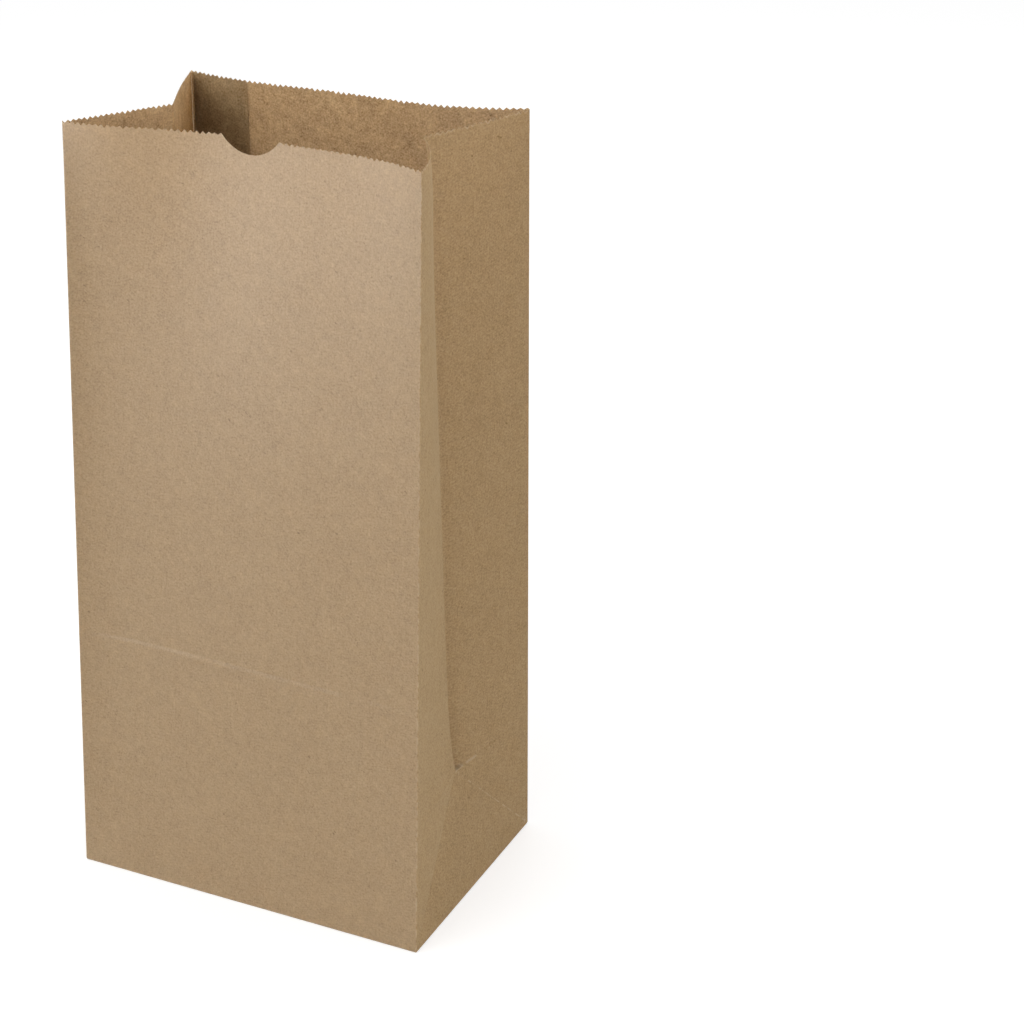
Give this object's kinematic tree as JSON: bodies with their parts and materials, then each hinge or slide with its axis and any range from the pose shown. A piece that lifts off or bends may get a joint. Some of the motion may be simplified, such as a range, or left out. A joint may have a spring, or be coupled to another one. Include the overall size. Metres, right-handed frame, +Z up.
{
  "type": "paper lunch bag",
  "caption": "Brown kraft paper lunch bag, standing open on its flat folded base, with pleated side gussets, a pinked mouth edge and a thumb notch in the front panel.",
  "frame": {"origin": "middle of the base, on the underside of the outer base flap, at table level", "axes": "+Z up out of the mouth, +X along the width towards the right-hand gusset, -Y out of the front panel with the thumb notch"},
  "size_m": [0.1632, 0.1079, 0.3143],
  "materials": {
    "kraft_paper": "matt brown kraft paper"
  },
  "bodies": {
    "root": {"paper_bag": "kraft_paper"}
  },
  "joints": []
}
